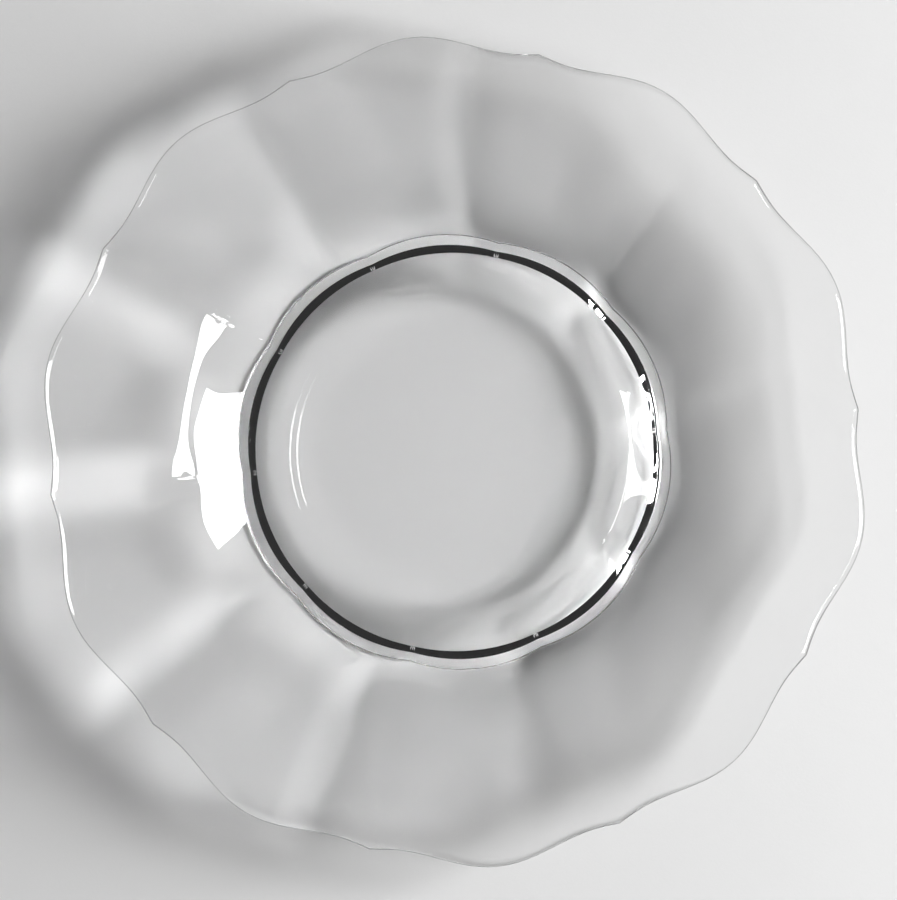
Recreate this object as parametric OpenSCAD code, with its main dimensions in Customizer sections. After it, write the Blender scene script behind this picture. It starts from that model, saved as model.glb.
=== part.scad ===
// Clear glass underplate, pressed in one piece, with petal lobes round its rim.
// It stands on a low ring-shaped foot and has a flat round seat for a bowl.
// Millimetres, +Z up. The origin is the middle of the foot, on the table.
// A lobe tip points along +X.

/* [Plan] */
// Width of the plate across two opposite lobe tips
plate_width = 165; // [140:0.5:260]
// Number of lobes round the rim
lobe_count = 10; // [6:1:14]
// How far a lobe tip stands out past the waists beside it
lobe_depth = 3.0; // [0.5:0.1:6]
// How far the point between two lobes stands out past its waists
cusp_rise = 0.8; // [0:0.1:2]
// Share of a lobe's width that its round bulge takes up
bulge_share = 0.76; // [0.6:0.01:0.9]

/* [Foot] */
// Width of the foot where its outer wall meets the underside
foot_width = 88; // [70:0.2:100]
// How far the foot's outer wall leans in on its way down
foot_draft = 0.1; // [0.1:0.05:0.8]
// Height of the foot's outer wall
foot_height = 0.6; // [0.4:0.1:2]
// Width of the flat ring that stands on the table
contact_width = 1.7; // [1:0.1:2.4]
// Rounding between the foot's outer wall and the flat ring
foot_round = 0.15; // [0.1:0.05:0.4]
// Width of the slanted inner wall of the foot, seen from above
bevel_width = 1.7; // [0.8:0.05:2]
// Height of the slanted inner wall of the foot
bevel_height = 1.55; // [0.8:0.05:1.8]
// Slope of the hollow's ceiling where it comes down to that inner wall
arch_slope = 0.26; // [0.1:0.02:0.8]
// Height of the hollow under the middle of the plate
hollow_height = 2.8; // [2:0.1:5]
// Width of the flat part of that hollow
hollow_width = 69; // [50:0.2:76]

/* [Seat] */
// Height of the flat seat in the middle of the plate
seat_height = 8.2; // [6:0.1:10]
// Width of the seat, inside the first of the two ring lines round it
seat_width = 62.2; // [40:0.2:70]
// Distance between the two ring lines
line_spacing = 1.4; // [0.8:0.1:3]
// Height of the small rounded step at each ring line
line_rise = 0.18; // [0.1:0.02:0.4]
// Width of that step, seen from above
line_step = 0.4; // [0.2:0.05:0.8]
// Width of the flat strip between the outer line and the wall
seat_ledge = 0.2; // [0.15:0.05:1]

/* [Wall] */
// Slope of the wall where it leaves the seat
well_slope = 0.26; // [0.05:0.01:0.5]
// Length over which the wall keeps near that slope
well_sweep = 13; // [2:0.5:16]
// Height of the middle of the rim's upper edge
rim_height = 15.9; // [13:0.1:24]
// Thickness of the glass at the rim
rim_thickness = 3.6; // [1.5:0.1:4]
// Slope of the wall where it reaches the rim
rim_slope = 0.12; // [0:0.01:0.3]
// How much steeper the underside is there
rim_taper = 0.16; // [0:0.01:0.2]
// Slope of the underside where it leaves the foot
foot_slope = 0.46; // [0.25:0.005:0.5]

/* [Ridges] */
// Height of the creased ridges between lobes, on the upper side
ridge_height = 2.4; // [0.3:0.05:3]
// Width of the round part inside the ridges
ridge_width = 78; // [68:0.5:90]
// Length over which the ridges grow to their full height
ridge_run = 12; // [8:0.5:30]
// Depth of the matching grooves on the underside
groove_depth = 0.7; // [0.1:0.05:1.2]
// Length over which the grooves grow to their full depth
groove_run = 9; // [4:0.5:20]
// Sharpness of the ridges and grooves
ridge_power = 2.1; // [1.5:0.1:4]
// Height of the fine crest that carries the ridges in to the seat
crest_height = 0.07; // [0.05:0.01:0.4]
// Length over which the crest grows, from the seat outward
crest_run = 2.5; // [1:0.5:6]
// Length over which the crest dies away, from the foot's width outward
crest_fade = 5; // [2:0.5:12]
// Sharpness of the crest
crest_power = 10; // [6:1:20]

/* [Hidden] */
glass = [0.86, 0.92, 0.93, 0.5];

// Steps of the mesh: round each lobe, along the wall, and round small curves
lobe_steps = 12;
wall_steps = 9;
edge_steps = 4;
arch_steps = 8;
round_steps = 4;

lobe_angle = 360 / lobe_count;
turn_steps = lobe_count * lobe_steps;
tip_radius = plate_width / 2;
waist_radius = tip_radius - lobe_depth;
// The wall is drawn out to this radius, and lobes are added to it or taken off
rim_radius = waist_radius + 0.4 * lobe_depth;
// A ridge is drawn about this share of its height, to keep the wall's mean height
ridge_mean = 0.3;

foot_radius = foot_width / 2;
contact_outer = foot_radius - foot_draft - foot_round;
contact_inner = contact_outer - contact_width;
bevel_radius = contact_inner - bevel_width;
hollow_radius = hollow_width / 2;
arch_span = bevel_radius - hollow_radius;

seat_radius = seat_width / 2;
line_radii = [seat_radius, seat_radius + line_spacing];
well_radius = line_radii[1] + line_step + seat_ledge;
well_height = seat_height + 2 * line_rise;
ridge_radius = ridge_width / 2;
// The solid foot reaches up into the wall, to below the seat, with the same lean
foot_top = (foot_height + seat_height) / 2;
foot_lean = foot_draft / (foot_height - foot_round);

// The rim's edge is half an ellipse, deeper than it is wide
edge_width = 0.4 * rim_thickness;
wall_radius = rim_radius - edge_width;
rim_under = rim_height - rim_thickness;
under_slope = rim_slope + rim_taper;
wall_span = wall_radius - well_radius;
under_span = wall_radius - foot_radius;
// The underside runs on inside the foot, to half the height of the foot's outer wall,
// so that the two cross
under_height = foot_height / 2;
under_inset = (foot_height - under_height) / foot_slope;

// Four points of each long curve: [radius, height]
wall_curve = [
    [well_radius, well_height],
    [well_radius + well_sweep, well_height + well_sweep * well_slope],
    [wall_radius - 0.46 * wall_span, rim_height - 0.46 * wall_span * rim_slope],
    [wall_radius, rim_height]
];
under_curve = [
    [wall_radius, rim_under],
    [wall_radius - 0.8 * under_span, rim_under - 0.8 * under_span * under_slope],
    [foot_radius + 0.24 * under_span, foot_height + 0.24 * under_span * foot_slope],
    [foot_radius, foot_height]
];
arch_curve = [
    [bevel_radius, bevel_height],
    [bevel_radius - 0.33 * arch_span, bevel_height + 0.33 * arch_span * arch_slope],
    [hollow_radius + 0.25 * arch_span, hollow_height],
    [hollow_radius, hollow_height]
];

function clamp(x) = min(max(x, 0), 1);

function smooth(x) = let (c = clamp(x)) c * c * (3 - 2 * c);

function bezier(p, t) =
    pow(1 - t, 3) * p[0] + 3 * t * pow(1 - t, 2) * p[1]
    + 3 * t * t * (1 - t) * p[2] + pow(t, 3) * p[3];

// Where an angle falls on its lobe: 0 in the middle, 1 at the points beside it
function across_lobe(angle) =
    let (turn = angle / lobe_angle)
    2 * abs(turn - floor(turn + 0.5));

// Reach of the rim at a place across a lobe
function rim_reach(x) =
    x < bulge_share
    ? waist_radius + lobe_depth * (1 + cos(180 * x / bulge_share)) / 2
    : waist_radius + cusp_rise * pow((x - bulge_share) / (1 - bulge_share), 1.6);

// How much of the lobes' shape shows at a radius: none on the foot, all at the rim
function lobing(radius) = clamp((radius - foot_radius) / (rim_radius - foot_radius));

function ridge_at(radius) = ridge_height * smooth((radius - ridge_radius) / ridge_run);

function crest_at(radius) =
    crest_height * smooth((radius - well_radius) / crest_run)
    * smooth((foot_radius + crest_fade - radius) / crest_fade);

function groove_at(radius) = groove_depth * smooth((radius - foot_radius) / groove_run);

// A ring of the wall is [radius, height, height of its ridges, height of its crests]
wall_rings = [
    for (i = [0 : wall_steps])
        let (p = bezier(wall_curve, i / wall_steps))
        [p[0], p[1], ridge_at(p[0]), crest_at(p[0])]
];
edge_rings = [
    for (i = [1 : edge_steps - 1])
        let (a = 90 - 180 * i / edge_steps)
        let (upper = (1 + sin(a)) / 2)
        [
            wall_radius + edge_width * cos(a),
            rim_under + rim_thickness * upper,
            groove_depth + (ridge_height - groove_depth) * upper,
            0
        ]
];
// The last point of the underside is left to the ring inside the foot
under_rings = [
    for (i = [0 : wall_steps - 1])
        let (p = bezier(under_curve, i / wall_steps))
        [p[0], p[1], groove_at(p[0]), 0]
];
inset_ring = [foot_radius - under_inset, under_height, 0, 0];
rings = concat(wall_rings, edge_rings, under_rings, [inset_ring]);

function ring_point(ring, angle) =
    let (x = across_lobe(angle))
    let (r = ring[0] + lobing(ring[0]) * (rim_reach(x) - rim_radius))
    let (ridge = ring[2] * (pow(x, ridge_power) - ridge_mean))
    let (z = ring[1] + ridge + ring[3] * pow(x, crest_power))
    [r * cos(angle), r * sin(angle), z];

// The fluted wall, closed across the well above and inside the foot below
module wall() {
    points = [
        for (ring = rings, s = [0 : turn_steps - 1])
            ring_point(ring, 360 * s / turn_steps)
    ];
    well_face = [for (s = [0 : turn_steps - 1]) turn_steps - 1 - s];
    last_ring = (len(rings) - 1) * turn_steps;
    hub = len(points);
    under_faces = [
        for (s = [0 : turn_steps - 1])
            [hub, last_ring + s, last_ring + (s + 1) % turn_steps]
    ];
    bands = [
        for (k = [0 : len(rings) - 2], s = [0 : turn_steps - 1])
            let (a = k * turn_steps, b = a + turn_steps, n = (s + 1) % turn_steps)
            [a + s, a + n, b + n, b + s]
    ];
    polyhedron(
        concat(points, [[0, 0, under_height]]),
        concat([well_face], under_faces, bands),
        convexity = 6
    );
}

// The low ring that the plate stands on, solid until it is hollowed
module foot() {
    corner = [
        for (i = [0 : round_steps])
            let (a = 90 * i / round_steps)
            [contact_outer + foot_round * sin(a), foot_round * (1 - cos(a))]
    ];
    top_radius = foot_radius + (foot_top - foot_height) * foot_lean;
    rotate_extrude($fn = turn_steps)
        polygon(concat([[0, 0]], corner, [[top_radius, foot_top], [0, foot_top]]));
}

// The hollow under the middle, with the slanted inner wall of the foot
module hollow() {
    arch = [for (i = [0 : arch_steps]) bezier(arch_curve, i / arch_steps)];
    mouth = [contact_inner + bevel_width / bevel_height, -1];
    rotate_extrude($fn = turn_steps)
        polygon(concat([[0, -1], mouth], arch, [[0, hollow_height]]));
}

// The shallow round recess that a bowl stands in, with the two ring lines
module seat() {
    steps = [
        for (n = [0 : 1], i = [0 : round_steps])
            let (t = i / round_steps)
            [line_radii[n] + t * line_step, seat_height + line_rise * (n + smooth(t))]
    ];
    // The last slope of the outer step runs on above the strip beside it
    last = len(steps) - 1;
    over = 2 * steps[last] - steps[last - 1];
    rotate_extrude($fn = turn_steps)
        polygon(concat([[0, seat_height]], steps, [over, [0, over[1]]]));
}

module plate() {
    color(glass)
        difference() {
            union() {
                wall();
                foot();
            }
            hollow();
            seat();
        }
}

plate();
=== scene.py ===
"""Clear glass underplate on a pale table, seen from straight above by window light.

The CAD node's facets would show as flat steps in clear glass, so a smooth mesh,
made from the same sizes and curves, stands for it.
"""
import math

import bpy
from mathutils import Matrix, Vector


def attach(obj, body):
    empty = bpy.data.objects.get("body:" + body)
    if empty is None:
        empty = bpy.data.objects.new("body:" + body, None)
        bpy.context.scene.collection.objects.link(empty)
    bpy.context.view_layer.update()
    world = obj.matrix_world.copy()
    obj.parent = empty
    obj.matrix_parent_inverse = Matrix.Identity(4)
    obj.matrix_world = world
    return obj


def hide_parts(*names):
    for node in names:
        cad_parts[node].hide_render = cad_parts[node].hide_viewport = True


MM = 0.001

# Sizes of the plate, in millimetres, as in the part's source
PLATE_WIDTH = 165.0
LOBE_COUNT = 10
LOBE_DEPTH = 3.0
CUSP_RISE = 0.8
BULGE_SHARE = 0.76
FOOT_WIDTH = 88.0
FOOT_DRAFT = 0.1
FOOT_HEIGHT = 0.6
CONTACT_WIDTH = 1.7
FOOT_ROUND = 0.15
BEVEL_WIDTH = 1.7
BEVEL_HEIGHT = 1.55
ARCH_SLOPE = 0.26
HOLLOW_HEIGHT = 2.8
HOLLOW_WIDTH = 69.0
SEAT_HEIGHT = 8.2
SEAT_WIDTH = 62.2
LINE_SPACING = 1.4
LINE_RISE = 0.18
LINE_STEP = 0.4
SEAT_LEDGE = 0.2
WELL_SLOPE = 0.26
WELL_SWEEP = 13.0
RIM_HEIGHT = 15.9
RIM_THICKNESS = 3.6
RIM_SLOPE = 0.12
RIM_TAPER = 0.16
FOOT_SLOPE = 0.46
RIDGE_HEIGHT = 2.4
RIDGE_WIDTH = 78.0
RIDGE_RUN = 12.0
GROOVE_DEPTH = 0.7
GROOVE_RUN = 9.0
RIDGE_POWER = 2.1
RIDGE_MEAN = 0.3
CREST_HEIGHT = 0.07
CREST_RUN = 2.5
CREST_FADE = 5.0
CREST_POWER = 10.0
CUSP_POWER = 1.6

# Shares: of the lobes' depth at which the rim is drawn, of its thickness for its edge,
# and of a span for the handles at the two ends of each long curve
RIM_SHARE = 0.4
EDGE_SHARE = 0.4
ARCH_START = 0.33
ARCH_END = 0.25
WALL_END = 0.46
UNDER_START = 0.24
UNDER_END = 0.8

# Sizes worked out from those
WAIST_RADIUS = PLATE_WIDTH / 2 - LOBE_DEPTH
RIM_RADIUS = WAIST_RADIUS + RIM_SHARE * LOBE_DEPTH
EDGE_WIDTH = EDGE_SHARE * RIM_THICKNESS
WALL_RADIUS = RIM_RADIUS - EDGE_WIDTH
RIM_UNDER = RIM_HEIGHT - RIM_THICKNESS
FOOT_RADIUS = FOOT_WIDTH / 2
CONTACT_OUTER = FOOT_RADIUS - FOOT_DRAFT - FOOT_ROUND
CONTACT_INNER = CONTACT_OUTER - CONTACT_WIDTH
BEVEL_RADIUS = CONTACT_INNER - BEVEL_WIDTH
HOLLOW_RADIUS = HOLLOW_WIDTH / 2
ARCH_SPAN = BEVEL_RADIUS - HOLLOW_RADIUS
ARCH_CURVE = (
    (BEVEL_RADIUS, BEVEL_HEIGHT),
    (BEVEL_RADIUS - ARCH_START * ARCH_SPAN, BEVEL_HEIGHT + ARCH_START * ARCH_SPAN * ARCH_SLOPE),
    (HOLLOW_RADIUS + ARCH_END * ARCH_SPAN, HOLLOW_HEIGHT),
    (HOLLOW_RADIUS, HOLLOW_HEIGHT),
)
SEAT_RADIUS = SEAT_WIDTH / 2
LINE_RADII = (SEAT_RADIUS, SEAT_RADIUS + LINE_SPACING)
WELL_RADIUS = LINE_RADII[1] + LINE_STEP + SEAT_LEDGE
WELL_HEIGHT = SEAT_HEIGHT + 2 * LINE_RISE
WALL_SPAN = WALL_RADIUS - WELL_RADIUS
WALL_CURVE = (
    (WELL_RADIUS, WELL_HEIGHT),
    (WELL_RADIUS + WELL_SWEEP, WELL_HEIGHT + WELL_SWEEP * WELL_SLOPE),
    (WALL_RADIUS - WALL_END * WALL_SPAN, RIM_HEIGHT - WALL_END * WALL_SPAN * RIM_SLOPE),
    (WALL_RADIUS, RIM_HEIGHT),
)
UNDER_SPAN = WALL_RADIUS - FOOT_RADIUS
UNDER_SLOPE = RIM_SLOPE + RIM_TAPER
UNDER_CURVE = (
    (FOOT_RADIUS, FOOT_HEIGHT),
    (FOOT_RADIUS + UNDER_START * UNDER_SPAN, FOOT_HEIGHT + UNDER_START * UNDER_SPAN * FOOT_SLOPE),
    (WALL_RADIUS - UNDER_END * UNDER_SPAN, RIM_UNDER - UNDER_END * UNDER_SPAN * UNDER_SLOPE),
    (WALL_RADIUS, RIM_UNDER),
)

# Distance, in millimetres, of the rings that keep flats flat beside a crease
HOLD = 0.03
# Steps of the smooth mesh
HALF_LOBE_STEPS = 18
TURN_STEPS = 2 * HALF_LOBE_STEPS * LOBE_COUNT
FLAT_STEPS = 4
STEP_STEPS = 12
WALL_STEPS = 112
UNDER_STEPS = 58
EDGE_STEPS = 12
CORNER_STEPS = 6
ARCH_STEPS = 30
# Powers that draw the steps closer together: round a lobe to its ridges, up the wall to the seat
RIDGE_CLOSENESS = 1.5
SEAT_CLOSENESS = 1.4

# The glass: texture scales per metre, depths and heights in millimetres
GLASS_TONE = 0.997
GLASS_IOR = 1.5
RIPPLE_SCALE = 55.0
RIPPLE_DEPTH = 0.03
FINE_SCALE = 220.0
FINE_SHARE = 0.04
SEED_SCALE = 60.0
SEED_SIZE = 0.02
SEED_DEPTH = 0.3
WEAR_SCALE = 1200.0
WEAR_NOISE = (0.35, 0.65)
WEAR_ROUGHNESS = (0.3, 0.5)
WEAR_HEIGHTS = (0.02, 0.06)

# The table, in the same units; its drop keeps it just clear of the foot
TABLE_NOISE = (0.3, 0.7)
TABLE_TONE = 0.75
TONE_SPREAD = 0.008
CLOUD_SCALE = 14.0
GRAIN_SCALE = 1800.0
GRAIN_DEPTH = 0.01
GRAIN_ROUGHNESS = (0.85, 0.95)
TABLE_REACH = 1500.0
TABLE_DROP = 0.05

# The photograph: its size in pixels, where the plate's middle is, and its scale
IMAGE_WIDTH = 897
IMAGE_HEIGHT = 900
MIDDLE_X = 454.5
MIDDLE_Y = 452.0
PIXELS_PER_MM = 5.067
# The photograph shows the plate turned this far, clockwise, from the frame
VIEW_TURN = math.radians(12)
# The camera's height in metres, and its sensor's width in millimetres
CAMERA_HEIGHT = 0.95
SENSOR = 36.0

# The window's distance in metres, and its power per square metre in watts
PANE_DISTANCE = 1.25
PANE_POWER = 69.5
# The dim light that comes from the rest of the room, and how often light may bounce
ROOM_STRENGTH = 0.03
BOUNCES = 24


def smooth(x):
    x = min(max(x, 0.0), 1.0)
    return x * x * (3 - 2 * x)


def bezier(p, t):
    s = 1 - t
    weights = (s ** 3, 3 * t * s * s, 3 * t * t * s, t ** 3)
    return tuple(sum(w * q[i] for w, q in zip(weights, p)) for i in (0, 1))


def across_lobe(angle):
    """0 in the middle of a lobe and 1 at the points beside it."""
    turn = angle * LOBE_COUNT / (2 * math.pi)
    return 2 * abs(turn - math.floor(turn + 0.5))


def rim_reach(x):
    """Reach of the rim at a place across a lobe."""
    if x < BULGE_SHARE:
        return WAIST_RADIUS + LOBE_DEPTH * (1 + math.cos(math.pi * x / BULGE_SHARE)) / 2
    return WAIST_RADIUS + CUSP_RISE * ((x - BULGE_SHARE) / (1 - BULGE_SHARE)) ** CUSP_POWER


def lobing(radius):
    """How much of the lobes' shape shows at a radius: none on the foot, all at the rim."""
    return min(max((radius - FOOT_RADIUS) / (RIM_RADIUS - FOOT_RADIUS), 0.0), 1.0)


def ridge_at(radius):
    return RIDGE_HEIGHT * smooth((radius - RIDGE_WIDTH / 2) / RIDGE_RUN)


def crest_at(radius):
    """Height of the fine crest that carries the ridges in to the seat."""
    grown = smooth((radius - WELL_RADIUS) / CREST_RUN)
    return CREST_HEIGHT * grown * smooth((FOOT_RADIUS + CREST_FADE - radius) / CREST_FADE)


def groove_at(radius):
    return GROOVE_DEPTH * smooth((radius - FOOT_RADIUS) / GROOVE_RUN)


def upper_rings():
    """Rings (radius, height, ridge height, crest height) from inside the seat to the rim."""
    rings = [(SEAT_RADIUS * i / FLAT_STEPS, SEAT_HEIGHT) for i in range(1, FLAT_STEPS)]
    for n, inner in enumerate(LINE_RADII):
        low = SEAT_HEIGHT + LINE_RISE * n
        rings.append((inner - HOLD, low))
        for i in range(STEP_STEPS + 1):
            t = i / STEP_STEPS
            rings.append((inner + t * LINE_STEP, low + LINE_RISE * smooth(t)))
        rings.append((inner + LINE_STEP + HOLD, low + LINE_RISE))
    for i in range(WALL_STEPS + 1):
        r, z = bezier(WALL_CURVE, (i / WALL_STEPS) ** SEAT_CLOSENESS)
        rings.append((r, z, ridge_at(r), crest_at(r)))
    return rings


def edge_rings():
    """Rings round the rim's edge, half an ellipse, from its upper side to its underside."""
    rings = []
    for i in range(1, EDGE_STEPS):
        a = math.pi * (0.5 - i / EDGE_STEPS)
        upper = (1 + math.sin(a)) / 2
        radius = WALL_RADIUS + EDGE_WIDTH * math.cos(a)
        height = RIM_UNDER + RIM_THICKNESS * upper
        rings.append((radius, height, GROOVE_DEPTH + (RIDGE_HEIGHT - GROOVE_DEPTH) * upper))
    return rings


def under_rings():
    """Rings from the rim back along the underside to the foot's outer wall."""
    steps = [1 - i / UNDER_STEPS for i in range(UNDER_STEPS)] + [HOLD / UNDER_SPAN, 0.0]
    points = [bezier(UNDER_CURVE, t) for t in steps]
    return [(r, z, groove_at(r)) for r, z in points]


def foot_rings():
    """Rings from the top of the foot's outer wall to the middle of the hollow."""
    rings = []
    for t in (1 - HOLD, 0.5, HOLD):
        radius = CONTACT_OUTER + FOOT_ROUND + t * FOOT_DRAFT
        rings.append((radius, FOOT_ROUND + t * (FOOT_HEIGHT - FOOT_ROUND)))
    for i in range(CORNER_STEPS + 1):
        a = math.pi / 2 * i / CORNER_STEPS
        rings.append((CONTACT_OUTER + FOOT_ROUND * math.cos(a), FOOT_ROUND * (1 - math.sin(a))))
    rings += [(CONTACT_OUTER - HOLD, 0.0), (CONTACT_INNER + HOLD, 0.0)]
    for t in (0.0, HOLD, 0.5, 1 - HOLD):
        rings.append((CONTACT_INNER - t * BEVEL_WIDTH, t * BEVEL_HEIGHT))
    rings += [bezier(ARCH_CURVE, i / ARCH_STEPS) for i in range(ARCH_STEPS + 1)]
    rings.append((HOLLOW_RADIUS - HOLD, HOLLOW_HEIGHT))
    rings += [(HOLLOW_RADIUS * (1 - i / FLAT_STEPS), HOLLOW_HEIGHT) for i in range(1, FLAT_STEPS)]
    return rings


def turn_angles():
    """Angles of the mesh round the plate, closer together beside the ridges."""
    half = [1 - (1 - k / HALF_LOBE_STEPS) ** RIDGE_CLOSENESS for k in range(HALF_LOBE_STEPS)]
    places = half + [1.0] + [2 - x for x in half[:0:-1]]
    return [math.pi / LOBE_COUNT * (2 * n + x) for n in range(LOBE_COUNT) for x in places]


def ring_point(angle, radius, height, ridge=0.0, crest=0.0):
    """A ring's point at an angle, in metres, with the lobes, ridges and crests on it."""
    x = across_lobe(angle)
    r = radius + lobing(radius) * (rim_reach(x) - RIM_RADIUS)
    z = height + ridge * (x ** RIDGE_POWER - RIDGE_MEAN) + crest * x ** CREST_POWER
    return (r * math.cos(angle) * MM, r * math.sin(angle) * MM, z * MM)


def plate_mesh():
    """The closed smooth skin of the plate: bands between its rings, and a fan at each middle."""
    rings = upper_rings() + edge_rings() + under_rings() + foot_rings()
    angles = turn_angles()
    points = [ring_point(a, *ring) for ring in rings for a in angles]
    faces = []
    for k in range(len(rings) - 1):
        a, b = k * TURN_STEPS, (k + 1) * TURN_STEPS
        for s in range(TURN_STEPS):
            n = (s + 1) % TURN_STEPS
            faces.append((a + s, b + s, b + n, a + n))
    top, bottom = len(points), len(points) + 1
    points += [(0, 0, SEAT_HEIGHT * MM), (0, 0, HOLLOW_HEIGHT * MM)]
    last = (len(rings) - 1) * TURN_STEPS
    for s in range(TURN_STEPS):
        n = (s + 1) % TURN_STEPS
        faces.append((top, s, n))
        faces.append((bottom, last + n, last + s))
    mesh = bpy.data.meshes.new("plate_glass")
    mesh.from_pydata(points, [], faces)
    mesh.shade_smooth()
    return mesh


class Nodes:
    """Builds a material's nodes, with values and links given by socket name."""

    def __init__(self, name):
        self.material = bpy.data.materials.new(name)
        self.material.use_nodes = True
        self.tree = self.material.node_tree
        self.shader = self.tree.nodes["Principled BSDF"]

    def set(self, node, **sockets):
        for name, value in sockets.items():
            socket = node.inputs[name.replace("_", " ")]
            if isinstance(value, bpy.types.NodeSocket):
                self.tree.links.new(value, socket)
            else:
                socket.default_value = value

    def new(self, kind, output, options=None, **sockets):
        node = self.tree.nodes.new("ShaderNode" + kind)
        for name, value in (options or {}).items():
            setattr(node, name, value)
        self.set(node, **sockets)
        return node.outputs[output]

    def scaled(self, value, given, wanted):
        """Maps a value from one range of two ends to another."""
        return self.new(
            "MapRange", "Result", Value=value,
            From_Min=given[0], From_Max=given[1], To_Min=wanted[0], To_Max=wanted[1],
        )

    def math(self, operation, first, second):
        node = self.tree.nodes.new("ShaderNodeMath")
        node.operation = operation
        for socket, value in zip(node.inputs, (first, second)):
            if isinstance(value, bpy.types.NodeSocket):
                self.tree.links.new(value, socket)
            else:
                socket.default_value = value
        return node.outputs["Value"]


def glass_material():
    """Clear pressed glass: slow fire-polish ripples, a few seed bubbles and a worn foot ring."""
    make = Nodes("clear_glass")
    place = make.new("TexCoord", "Object")
    height = make.new("SeparateXYZ", "Z", Vector=place)
    ripple = make.new("TexNoise", "Fac", Vector=place, Scale=RIPPLE_SCALE, Detail=2.0)
    fine = make.new("TexNoise", "Fac", Vector=place, Scale=FINE_SCALE, Detail=1.0)
    cell = make.new("TexVoronoi", "Distance", Vector=place, Scale=SEED_SCALE)
    seed = make.scaled(cell, (0.0, SEED_SIZE), (SEED_DEPTH, 0.0))
    relief = make.math("ADD", ripple, make.math("MULTIPLY", fine, FINE_SHARE))
    relief = make.math("SUBTRACT", relief, seed)
    bump = make.new("Bump", "Normal", Strength=1.0, Distance=RIPPLE_DEPTH * MM, Height=relief)
    grain = make.new("TexNoise", "Fac", Vector=place, Scale=WEAR_SCALE, Detail=4.0)
    wear = make.scaled(grain, WEAR_NOISE, WEAR_ROUGHNESS)
    worn = make.scaled(height, [h * MM for h in WEAR_HEIGHTS], (1.0, 0.0))
    make.set(
        make.shader,
        Base_Color=(GLASS_TONE, GLASS_TONE, GLASS_TONE, 1),
        Transmission_Weight=1.0,
        IOR=GLASS_IOR,
        Roughness=make.math("MULTIPLY", wear, worn),
        Normal=bump,
    )
    return make.material


def table_material():
    """A pale matt table top with a faint uneven tone and a fine grain."""
    make = Nodes("pale_table")
    place = make.new("TexCoord", "Object")
    cloud = make.new("TexNoise", "Fac", Vector=place, Scale=CLOUD_SCALE, Detail=3.0)
    tone = make.scaled(cloud, TABLE_NOISE, (TABLE_TONE - TONE_SPREAD, TABLE_TONE + TONE_SPREAD))
    grain = make.new("TexNoise", "Fac", Vector=place, Scale=GRAIN_SCALE, Detail=2.0)
    make.set(
        make.shader,
        Base_Color=make.new("CombineColor", "Color", Red=tone, Green=tone, Blue=tone),
        Roughness=make.scaled(grain, TABLE_NOISE, GRAIN_ROUGHNESS),
        Specular_IOR_Level=0.0,
        Normal=make.new("Bump", "Normal", Strength=1.0, Distance=GRAIN_DEPTH * MM, Height=grain),
    )
    return make.material


def add(name, data):
    obj = bpy.data.objects.new(name, data)
    bpy.context.scene.collection.objects.link(obj)
    return obj


def add_plate():
    mesh = plate_mesh()
    mesh.materials.append(glass_material())
    plate = add("plate_glass", mesh)
    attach(plate, "root")
    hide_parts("plate")


def add_table():
    reach, drop = TABLE_REACH * MM, TABLE_DROP * MM
    mesh = bpy.data.meshes.new("table")
    corners = [(-reach, -reach), (reach, -reach), (reach, reach), (-reach, reach)]
    mesh.from_pydata([(x, y, -drop) for x, y in corners], [], [(0, 1, 2, 3)])
    mesh.materials.append(table_material())
    add("table", mesh)


def add_pane(name, turn, elevation, width, height):
    """One pane of the window, at a turn from the photograph's right and an angle above the table.

    Both are in degrees. The pane's width and height are in metres.
    """
    turn, elevation = VIEW_TURN + math.radians(turn), math.radians(elevation)
    light = bpy.data.lights.new(name, "AREA")
    light.shape = "RECTANGLE"
    light.size, light.size_y = width, height
    light.energy = PANE_POWER * width * height
    lamp = add(name, light)
    lamp.location = (
        PANE_DISTANCE * math.cos(elevation) * math.cos(turn),
        PANE_DISTANCE * math.cos(elevation) * math.sin(turn),
        PANE_DISTANCE * math.sin(elevation),
    )
    lamp.rotation_euler = (-lamp.location).to_track_quat("-Z", "Y").to_euler()


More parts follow.
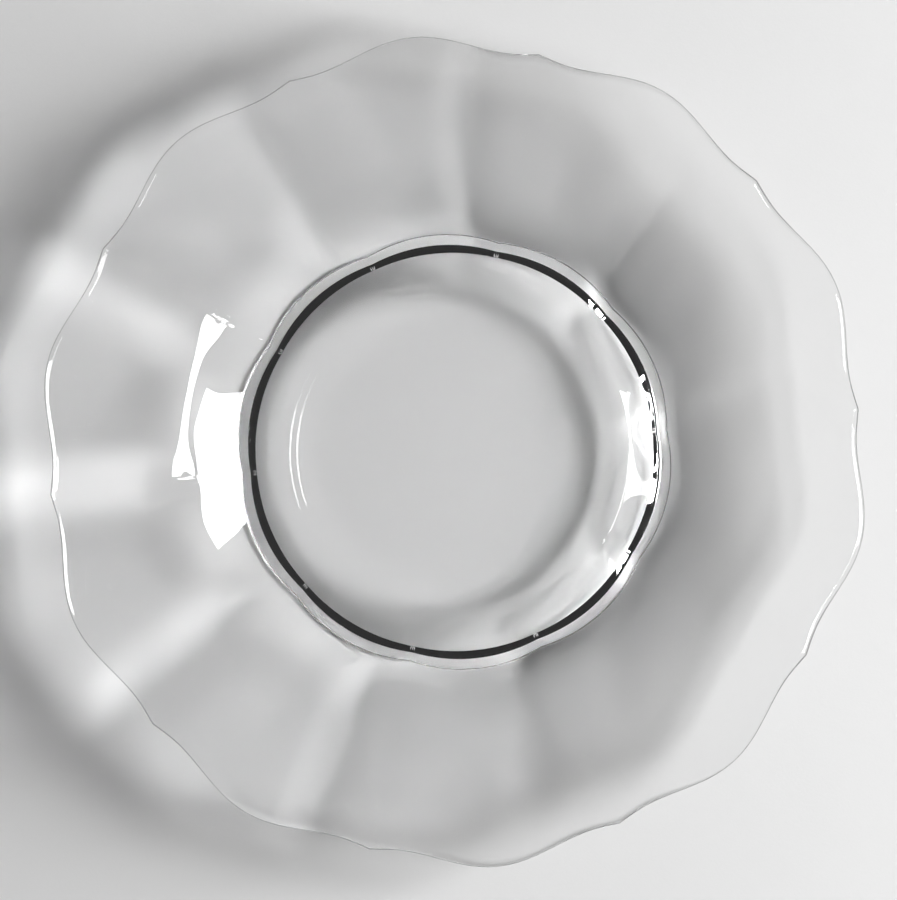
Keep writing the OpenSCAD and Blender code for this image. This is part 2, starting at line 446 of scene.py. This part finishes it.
def add_window():
    """The one large soft light, to the right of the photograph, with a narrow upper pane."""
    add_pane("window", turn=2, elevation=24.0, width=0.68, height=0.7)
    add_pane("upper_pane", turn=-14, elevation=46.2, width=0.46, height=0.09)


def add_world():
    world = bpy.data.worlds.new("room")
    bpy.context.scene.world = world
    world.use_nodes = True
    room = world.node_tree.nodes["Background"]
    room.inputs["Color"].default_value = (1, 1, 1, 1)
    room.inputs["Strength"].default_value = ROOM_STRENGTH


def add_camera():
    """Straight above, with the plate where the photograph has it and at the same scale."""
    camera = bpy.data.cameras.new("camera")
    camera.sensor_width = SENSOR
    view_mm = max(IMAGE_WIDTH, IMAGE_HEIGHT) / PIXELS_PER_MM
    camera.lens = SENSOR * (CAMERA_HEIGHT / MM - RIM_HEIGHT) / view_mm
    obj = add("camera", camera)
    right = (IMAGE_WIDTH / 2 - MIDDLE_X) / PIXELS_PER_MM * MM
    up = (MIDDLE_Y - IMAGE_HEIGHT / 2) / PIXELS_PER_MM * MM
    across = Vector((math.cos(VIEW_TURN), math.sin(VIEW_TURN), 0))
    along = Vector((-math.sin(VIEW_TURN), math.cos(VIEW_TURN), 0))
    obj.location = right * across + up * along + Vector((0, 0, CAMERA_HEIGHT))
    obj.rotation_euler = (0, 0, VIEW_TURN)
    bpy.context.scene.camera = obj


def set_light_paths():
    """Lets light through the glass stay sharp on the table."""
    scene = bpy.context.scene
    scene.view_settings.view_transform = "Standard"
    scene.cycles.blur_glossy = 0.0
    scene.cycles.sample_clamp_indirect = 0.0
    scene.cycles.max_bounces = BOUNCES
    scene.cycles.transmission_bounces = BOUNCES
    scene.cycles.use_guiding = True


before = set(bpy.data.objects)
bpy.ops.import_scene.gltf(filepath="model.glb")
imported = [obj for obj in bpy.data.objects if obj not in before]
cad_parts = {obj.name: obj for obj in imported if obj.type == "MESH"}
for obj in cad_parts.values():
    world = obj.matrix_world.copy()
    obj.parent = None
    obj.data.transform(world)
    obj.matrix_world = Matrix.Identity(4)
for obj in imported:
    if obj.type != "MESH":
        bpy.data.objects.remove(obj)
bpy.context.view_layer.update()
add_plate()
add_table()
add_window()
add_world()
add_camera()
set_light_paths()
